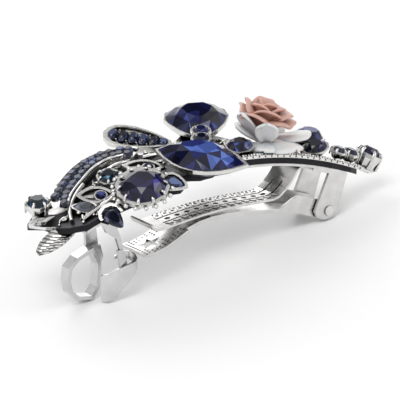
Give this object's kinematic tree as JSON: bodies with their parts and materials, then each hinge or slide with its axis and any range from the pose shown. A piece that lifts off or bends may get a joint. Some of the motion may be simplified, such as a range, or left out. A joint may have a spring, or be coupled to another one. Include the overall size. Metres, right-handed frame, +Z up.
{
  "type": "rhinestone hair clip",
  "caption": "Arched automatic hair clip with a sprung clamp arm and squeeze latch, carrying a cast spray of dark faceted stones, leaves and a pink rose.",
  "frame": {"origin": "centre of the overall box in plan, at the level the clip stands on", "axes": "+X runs the length of the clip from the latch end to the hinge end, +Y to the side away from the marquise stone, +Z up; the clip stands on its latch wings and hinge ears, arm closed"},
  "size_m": [0.0844, 0.0362, 0.0271],
  "materials": {
    "steel": "bright nickel-plated spring steel, lightly brushed",
    "plated": "bright nickel plate",
    "cast": "antique-silver plated zinc casting, blackened in the recesses",
    "dark_cast": "blackened back of the casting",
    "navy_glass": "foiled faceted glass, navy",
    "teal_glass": "foiled faceted glass, teal blue",
    "grey_glass": "grey cabochon glass",
    "rose_resin": "matt dusty pink resin",
    "petal_resin": "frosted white acrylic"
  },
  "bodies": {
    "clip_frame": {"base_plate": "steel", "centre_settings": "cast", "centre_stones": "navy_glass", "drop_settings": "cast", "drop_stones": "navy_glass", "engraved_leaf": "cast", "feather_edge_wire": "cast", "feather_stones": "navy_glass", "feather_tray": "cast", "flower_post": "cast", "gallery_band": "cast", "granules": "cast", "grey_pear_cabochon": "grey_glass", "grey_pear_setting": "cast", "hinge_pin": "plated", "latch_rivet": "plated", "latch_saddle": "steel", "leaf_frame_cups": "cast", "leaf_frame_stones": "navy_glass", "leaf_frames": "cast", "left_end_crystal": "teal_glass", "left_end_setting": "cast", "marquise_crystal": "navy_glass", "marquise_setting": "cast", "ornament_backing": "dark_cast", "pear_crystal": "navy_glass", "pear_setting": "cast", "petal_loop_floor": "dark_cast", "petal_loop_posts": "cast", "petal_loop_stones": "navy_glass", "petal_loop_tray": "cast", "resin_rose": "rose_resin", "right_oval_crystals": "navy_glass", "right_oval_settings": "cast", "round_crystal": "navy_glass", "round_frill_beads": "cast", "round_setting": "cast", "side_navy_crystal": "navy_glass", "side_navy_setting": "cast", "smooth_leaf": "cast", "solder_pads": "dark_cast", "teal_crystal": "teal_glass", "teal_setting": "cast", "tip_bridge": "cast", "tip_claw_cup": "cast", "tip_claw_stone": "navy_glass", "tip_settings": "cast", "tip_stones": "navy_glass", "vine_scrolls": "cast", "white_petals": "petal_resin"},
    "arm": {"clamp_arm": "steel"},
    "spring": {"tension_spring": "steel", "spring_rivets": "plated"},
    "wing_far": {"latch_wing_far": "steel"},
    "wing_near": {"latch_wing_near": "steel"}
  },
  "joints": [
    {"name": "arm_hinge", "type": "hinge", "parent": "clip_frame", "child": "arm", "pos_m": [0.02391, -0.00529, 0.00192], "axis": [0, -1, 0], "range_deg": [0, 62]},
    {"name": "spring_flex", "type": "hinge", "parent": "clip_frame", "child": "spring", "pos_m": [0.02138, -0.00529, 0.0122], "axis": [0, -1, 0], "range_deg": [0, 2.5]},
    {"name": "wing_far_squeeze", "type": "hinge", "parent": "clip_frame", "child": "wing_far", "pos_m": [-0.0283, -0.00229, 0.01737], "axis": [-1, 0, 0], "range_deg": [0, 3.2], "stiffness_Nm_per_rad": 0.3},
    {"name": "wing_near_squeeze", "type": "hinge", "parent": "clip_frame", "child": "wing_near", "pos_m": [-0.0283, -0.00829, 0.01737], "axis": [1, 0, 0], "range_deg": [0, 3.2], "stiffness_Nm_per_rad": 0.3}
  ],
  "couplings": [
    {"joint": "spring_flex", "follows": "arm_hinge", "ratio": 0.04},
    {"joint": "wing_near_squeeze", "follows": "wing_far_squeeze", "ratio": 1}
  ]
}
